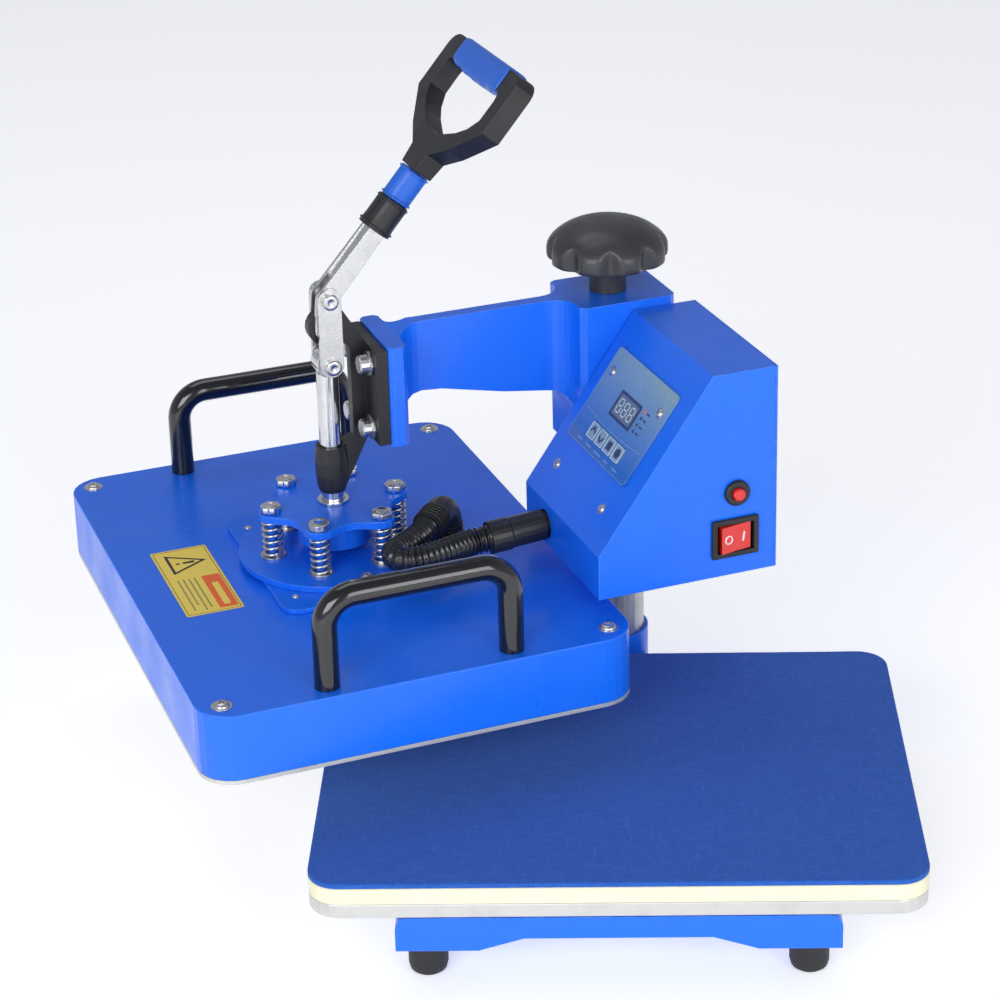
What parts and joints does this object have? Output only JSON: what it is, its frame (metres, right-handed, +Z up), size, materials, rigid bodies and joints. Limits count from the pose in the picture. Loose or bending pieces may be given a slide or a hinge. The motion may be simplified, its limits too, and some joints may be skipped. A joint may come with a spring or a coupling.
{
  "type": "heat press",
  "caption": "Swing-away heat press with a heated upper platen on a toggle lever, a side control box and a padded lower platen.",
  "frame": {"origin": "middle of the lower platen's felt work surface", "axes": "+Z up, +Y from the front of the lower platen back to the column, +X to the right"},
  "size_m": [0.5771, 0.4949, 0.5038],
  "materials": {
    "blue_paint": "gloss powder coat",
    "blue_felt": "felt, matte",
    "cream_silicone": "matte",
    "aluminium": "satin",
    "grey_steel": "satin",
    "chrome": "polished",
    "zinc": "zinc plated",
    "black_plastic": "satin",
    "black_casting": "semi-gloss",
    "black_gloss": "gloss",
    "black_rubber": "matte",
    "panel_film": "film",
    "key_film": "film",
    "red_switch": "gloss",
    "circuit_board": "matte",
    "blue_grip": "satin"
  },
  "bodies": {
    "base": {"base_frame": "blue_paint", "foot_front_left": "black_rubber", "foot_front_right": "black_rubber", "foot_rear_left": "black_rubber", "foot_rear_right": "black_rubber", "column": "grey_steel", "support_plate": "aluminium", "lower_platen": "aluminium", "silicone_pad": "cream_silicone", "felt_pad": "blue_felt"},
    "lift": {"lift_post": "chrome", "thrust_washer": "zinc"},
    "knob": {"adjusting_knob": "black_plastic", "adjusting_screw": "zinc"},
    "arm": {"swing_arm": "blue_paint", "toggle_bracket": "black_casting", "bracket_bolt_1": "zinc", "bracket_bolt_2": "zinc", "bracket_bolt_3": "zinc", "bracket_bolt_4": "zinc", "control_box": "blue_paint", "box_back": "blue_paint", "display_panel": "panel_film", "controller_board": "circuit_board", "switch_bezel": "black_plastic", "button_bezel": "black_plastic", "power_inlet": "black_plastic", "conduit_connector": "black_plastic", "conduit": "black_rubber"},
    "lever": {"lever_arm": "zinc", "toggle_pin": "zinc", "crank_pin": "zinc", "lever_socket": "black_plastic", "lever_collar": "blue_grip", "d_handle": "black_plastic", "grip_insert": "blue_grip"},
    "link": {"link_near": "zinc", "link_far": "zinc"},
    "plunger": {"plunger": "chrome", "plunger_washer": "chrome", "spring_plate": "blue_paint", "spring_1": "zinc", "spring_2": "zinc", "spring_3": "zinc", "spring_4": "zinc", "spring_5": "zinc", "spring_6": "zinc"},
    "heater": {"platen_cover": "blue_paint", "heating_plate": "aluminium", "raised_plate": "blue_paint", "mounting_disc": "blue_paint", "handle_near": "black_gloss", "handle_far": "black_gloss", "conduit_elbow": "black_plastic"},
    "rocker": {"power_rocker": "red_switch"},
    "button": {"reset_button": "red_switch"},
    "key_a": {"key_1": "key_film"},
    "key_b": {"key_2": "key_film"},
    "key_c": {"key_3": "key_film"},
    "key_d": {"key_4": "key_film"}
  },
  "joints": [
    {"name": "arm_height", "type": "slide", "parent": "base", "child": "lift", "axis": [0, 0, 1], "range_m": [0, 0.008]},
    {"name": "arm_swing", "type": "hinge", "parent": "lift", "child": "arm", "pos_m": [0, 0.2036, 0], "axis": [0, 0, 1], "range_deg": [-52, 67.8]},
    {"name": "knob_turn", "type": "hinge", "parent": "lift", "child": "knob", "pos_m": [0, 0.2036, 0], "axis": [0, 0, 1], "range_deg": [0, 1650]},
    {"name": "plunger_drop", "type": "slide", "parent": "arm", "child": "plunger", "axis": [0, 0, -1], "range_m": [0, 0.04]},
    {"name": "platen_float", "type": "slide", "parent": "plunger", "child": "heater", "axis": [0, 0, 1], "range_m": [0, 0.004], "stiffness_N_per_m": 30000, "deforming": ["spring_1", "spring_2", "spring_3", "spring_4", "spring_5", "spring_6"]},
    {"name": "lever_swing", "type": "hinge", "parent": "arm", "child": "lever", "pos_m": [-0.18851, 0.12667, 0.257], "axis": [0.3778, -0.9259, 0], "range_deg": [0, 176.2]},
    {"name": "link_swing", "type": "hinge", "parent": "lever", "child": "link", "pos_m": [-0.1874, 0.12712, 0.2775], "axis": [0.3778, -0.9259, 0], "range_deg": [-176.2, 0]},
    {"name": "power_switch", "type": "hinge", "parent": "arm", "child": "rocker", "pos_m": [0.07925, 0.06605, 0.1294], "axis": [0, 0, -1], "range_deg": [0, 13]},
    {"name": "reset_push", "type": "slide", "parent": "arm", "child": "button", "axis": [-0.3778, 0.9259, 0], "range_m": [0, 0.002], "stiffness_N_per_m": 500},
    {"name": "key_a_push", "type": "slide", "parent": "arm", "child": "key_a", "axis": [0.7525, 0.3071, -0.5826], "range_m": [0, 0.0005], "stiffness_N_per_m": 1000},
    {"name": "key_b_push", "type": "slide", "parent": "arm", "child": "key_b", "axis": [0.7525, 0.3071, -0.5826], "range_m": [0, 0.0005], "stiffness_N_per_m": 1000},
    {"name": "key_c_push", "type": "slide", "parent": "arm", "child": "key_c", "axis": [0.7525, 0.3071, -0.5826], "range_m": [0, 0.0005], "stiffness_N_per_m": 1000},
    {"name": "key_d_push", "type": "slide", "parent": "arm", "child": "key_d", "axis": [0.7525, 0.3071, -0.5826], "range_m": [0, 0.0005], "stiffness_N_per_m": 1000}
  ],
  "couplings": [
    {"joint": "knob_turn", "follows": "arm_height", "rad_per_m": 3590},
    {"joint": "lever_swing", "follows": "plunger_drop", "rad_per_m": 76.794},
    {"joint": "link_swing", "follows": "plunger_drop", "rad_per_m": -76.794}
  ]
}
